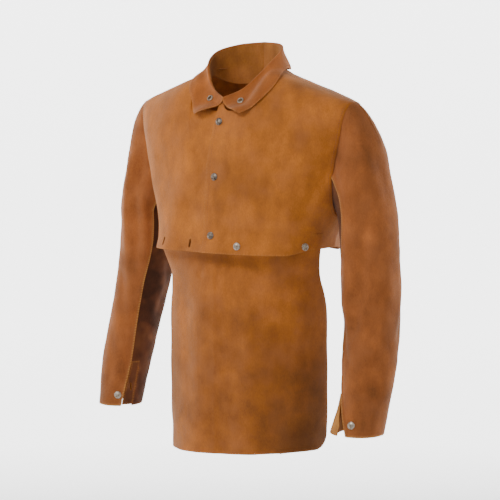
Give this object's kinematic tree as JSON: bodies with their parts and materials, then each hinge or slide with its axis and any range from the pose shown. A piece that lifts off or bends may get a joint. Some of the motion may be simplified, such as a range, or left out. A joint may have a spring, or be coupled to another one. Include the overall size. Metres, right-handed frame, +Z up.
{
  "type": "leather welding jacket",
  "caption": "Split-cowhide cape-sleeve welding jacket with turn-down collar, snap front closure and a detachable bib that snaps under the cape hem.",
  "frame": {"origin": "middle of the neck opening, at the level where the collar meets the shoulder seams", "axes": "+X to the wearer's left, -Y to the front, +Z up"},
  "size_m": [0.6858, 0.2814, 0.8178],
  "materials": {
    "suede_front": "brushed split cowhide",
    "suede_back": "brushed split cowhide",
    "suede_collar": "brushed split cowhide",
    "suede_inside": "brushed split cowhide, inner face",
    "suede_sleeve": "brushed split cowhide",
    "suede_tab": "raw flesh side of split cowhide",
    "suede_bib": "brushed split cowhide",
    "snap_nickel": "nickel plated, lightly tarnished",
    "snap_dark": "antique dark plated"
  },
  "bodies": {
    "root": {"left_back_panel": "suede_back", "right_back_panel": "suede_back", "left_front_panel": "suede_front", "right_front_panel": "suede_front", "left_collar_stand": "suede_inside", "right_collar_stand": "suede_inside", "left_collar_leaf": "suede_collar", "right_collar_leaf": "suede_collar", "left_sleeve_head": "suede_sleeve", "right_sleeve_head": "suede_sleeve", "top_snap_cap": "snap_dark", "top_snap_socket": "snap_dark", "top_snap_stud": "snap_dark", "top_snap_post": "snap_dark", "middle_snap_stud": "snap_dark", "middle_snap_post": "snap_dark", "lower_snap_stud": "snap_dark", "lower_snap_post": "snap_dark", "hem_outer_snap_cap": "snap_nickel", "hem_outer_snap_socket": "snap_nickel"},
    "front_flap": {"left_front_flap": "suede_front", "middle_snap_cap": "snap_dark", "middle_snap_socket": "snap_dark", "lower_snap_cap": "snap_dark", "lower_snap_socket": "snap_dark", "hem_inner_snap_cap": "snap_nickel", "hem_inner_snap_socket": "snap_nickel"},
    "left_collar": {"left_collar_point": "suede_collar", "left_collar_snap": "snap_nickel"},
    "right_collar": {"right_collar_point": "suede_collar", "right_collar_snap": "snap_nickel"},
    "left_arm": {"left_upper_sleeve_outer": "suede_sleeve", "left_upper_sleeve_under": "suede_sleeve", "left_sleeve_elbow": "suede_sleeve"},
    "left_forearm": {"left_forearm_outer": "suede_sleeve", "left_forearm_under": "suede_sleeve", "left_cuff_snap_cap": "snap_nickel", "left_cuff_snap_socket": "snap_nickel"},
    "left_tab": {"left_cuff_tab": "suede_tab"},
    "right_arm": {"right_upper_sleeve_outer": "suede_sleeve", "right_upper_sleeve_under": "suede_sleeve", "right_sleeve_elbow": "suede_sleeve"},
    "right_forearm": {"right_forearm_outer": "suede_sleeve", "right_forearm_under": "suede_sleeve", "right_cuff_snap_cap": "snap_nickel", "right_cuff_snap_socket": "snap_nickel"},
    "right_tab": {"right_cuff_tab": "suede_tab"},
    "bib_top": {"bib_band": "suede_bib", "bib_fold": "suede_bib", "bib_inner_stud": "snap_nickel", "bib_inner_post": "snap_nickel", "bib_outer_stud": "snap_nickel", "bib_outer_post": "snap_nickel"},
    "bib": {"bib_panel": "suede_bib"}
  },
  "joints": [
    {"name": "left_shoulder_raise", "type": "hinge", "parent": "root", "child": "left_arm", "pos_m": [0.236, -0.015, -0.085], "axis": [0, -1, 0], "range_deg": [0, 60], "deforming": ["left_sleeve_head"]},
    {"name": "right_shoulder_raise", "type": "hinge", "parent": "root", "child": "right_arm", "pos_m": [-0.236, -0.015, -0.085], "axis": [0, 1, 0], "range_deg": [0, 60], "deforming": ["right_sleeve_head"]},
    {"name": "left_elbow_bend", "type": "hinge", "parent": "left_arm", "child": "left_forearm", "pos_m": [0.28, -0.031, -0.43], "axis": [-1, 0, 0], "range_deg": [0, 80], "deforming": ["left_sleeve_elbow"]},
    {"name": "right_elbow_bend", "type": "hinge", "parent": "right_arm", "child": "right_forearm", "pos_m": [-0.28, -0.031, -0.43], "axis": [-1, 0, 0], "range_deg": [0, 80], "deforming": ["right_sleeve_elbow"]},
    {"name": "left_cuff_open", "type": "hinge", "parent": "left_forearm", "child": "left_tab", "pos_m": [0.2516, -0.101, -0.675], "axis": [-0.0456, -0.296, -0.9541], "range_deg": [0, 55]},
    {"name": "right_cuff_open", "type": "hinge", "parent": "right_forearm", "child": "right_tab", "pos_m": [-0.2512, -0.0832, -0.675], "axis": [0.052, 0.2469, 0.9676], "range_deg": [0, 55]},
    {"name": "left_collar_turn", "type": "hinge", "parent": "root", "child": "left_collar", "pos_m": [0, -0.108, -0.0436], "axis": [-0.6554, -0.4861, -0.5781], "range_deg": [0, 95]},
    {"name": "right_collar_turn", "type": "hinge", "parent": "root", "child": "right_collar", "pos_m": [0, -0.108, -0.0436], "axis": [-0.6554, 0.4861, 0.5781], "range_deg": [0, 95]},
    {"name": "front_open", "type": "hinge", "parent": "root", "child": "front_flap", "pos_m": [-0.013, -0.1335, -0.112], "axis": [-0.4724, 0.0416, 0.8804], "range_deg": [0, 50]},
    {"name": "bib_release", "type": "slide", "parent": "root", "child": "bib_top", "axis": [0, 0, -1], "range_m": [0, 0.15]},
    {"name": "bib_swing", "type": "hinge", "parent": "bib_top", "child": "bib", "pos_m": [0, -0.118, -0.352], "axis": [-1, 0, 0], "range_deg": [0, 40], "deforming": ["bib_fold"]}
  ]
}
